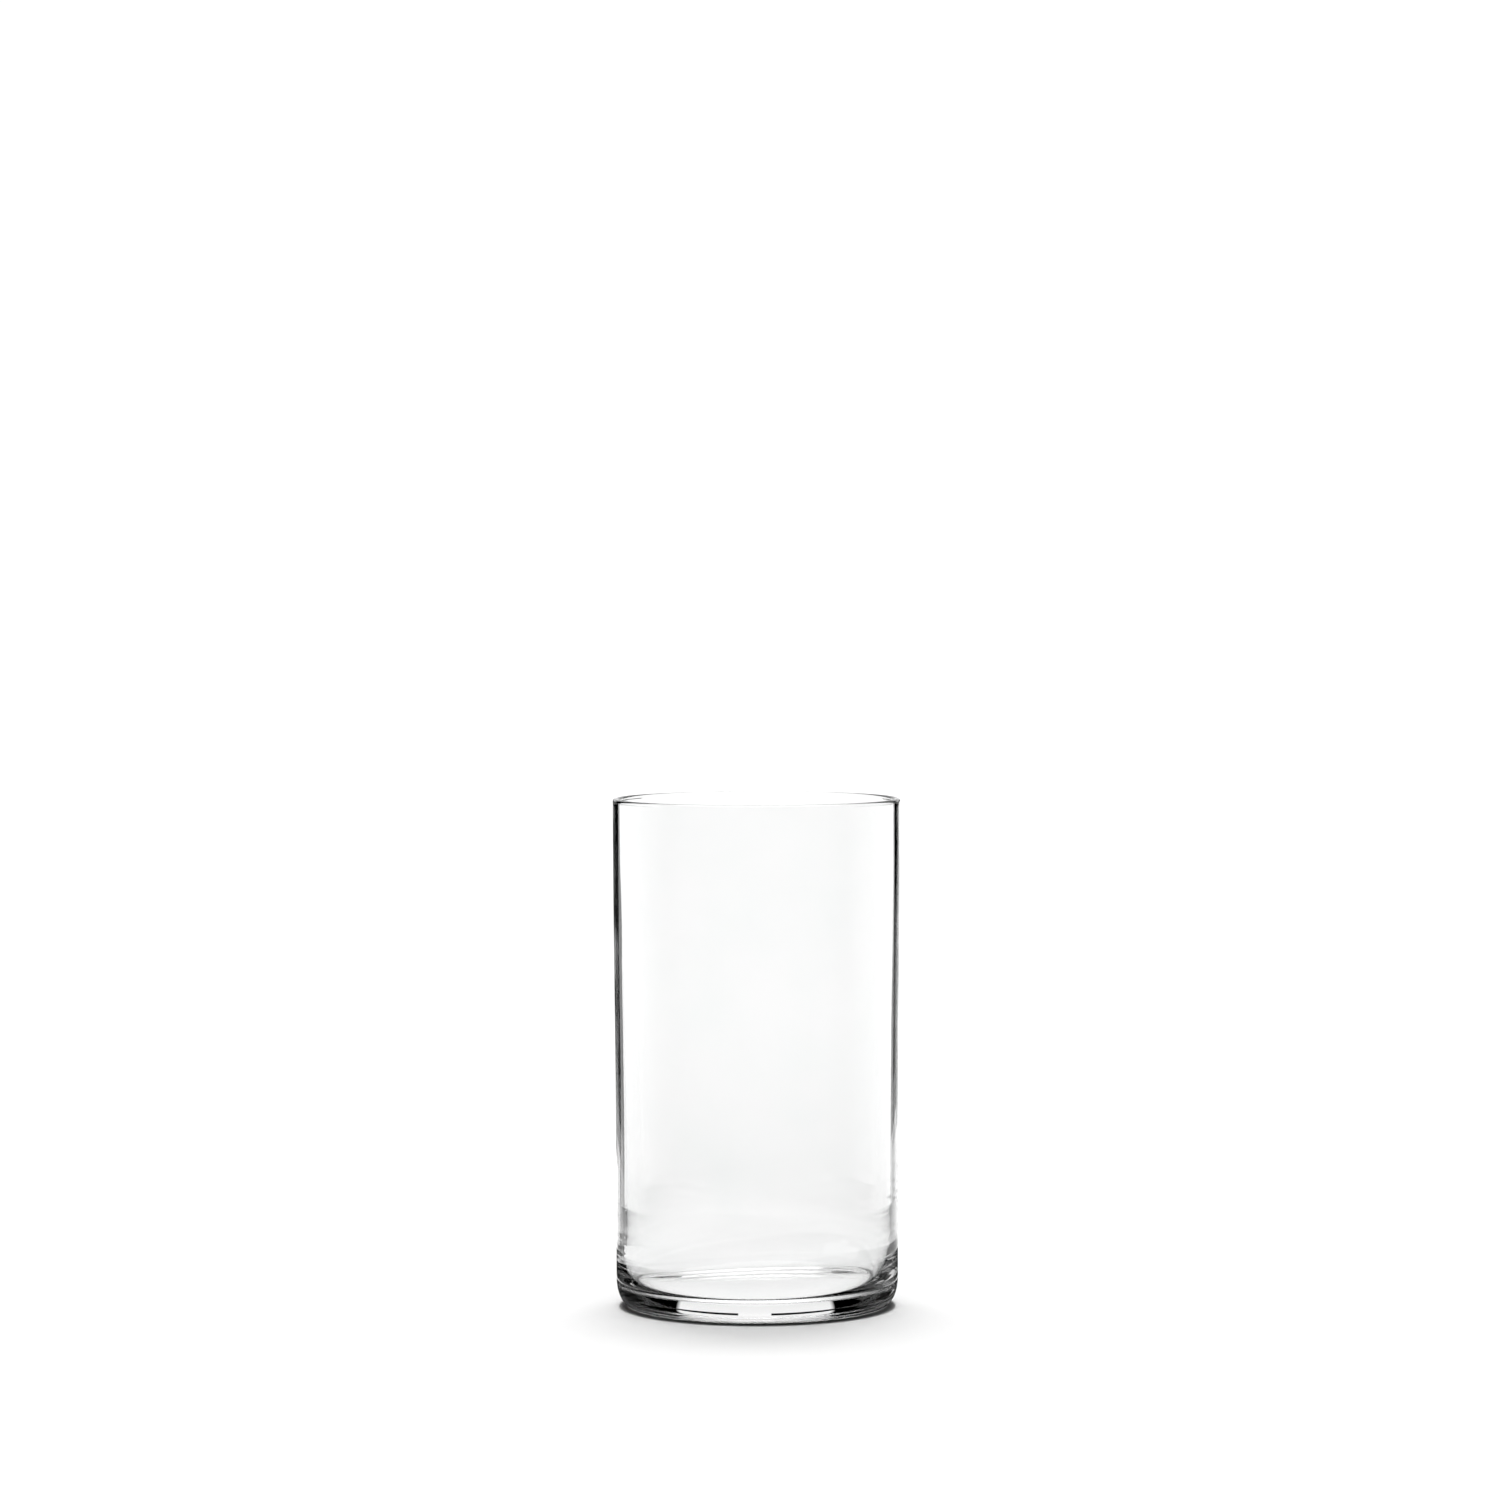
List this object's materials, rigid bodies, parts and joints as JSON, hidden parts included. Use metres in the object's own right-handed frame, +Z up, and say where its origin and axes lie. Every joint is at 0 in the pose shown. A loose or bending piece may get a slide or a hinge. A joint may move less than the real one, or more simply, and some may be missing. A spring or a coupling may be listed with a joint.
{
  "type": "cylinder vase",
  "caption": "Clear blown-glass cylinder vase with a rounded lip, slightly flared wall, thick solid base and shallow hollow foot.",
  "frame": {"origin": "middle of the foot, on the plane the vase stands on", "axes": "+Z up along the axis of the cylinder; X and Y are free, because the body is turned"},
  "size_m": [0.12, 0.12, 0.212],
  "materials": {
    "clear_glass": "polished, colourless and transparent"
  },
  "bodies": {
    "root": {"glass_vessel": "clear_glass"}
  },
  "joints": []
}
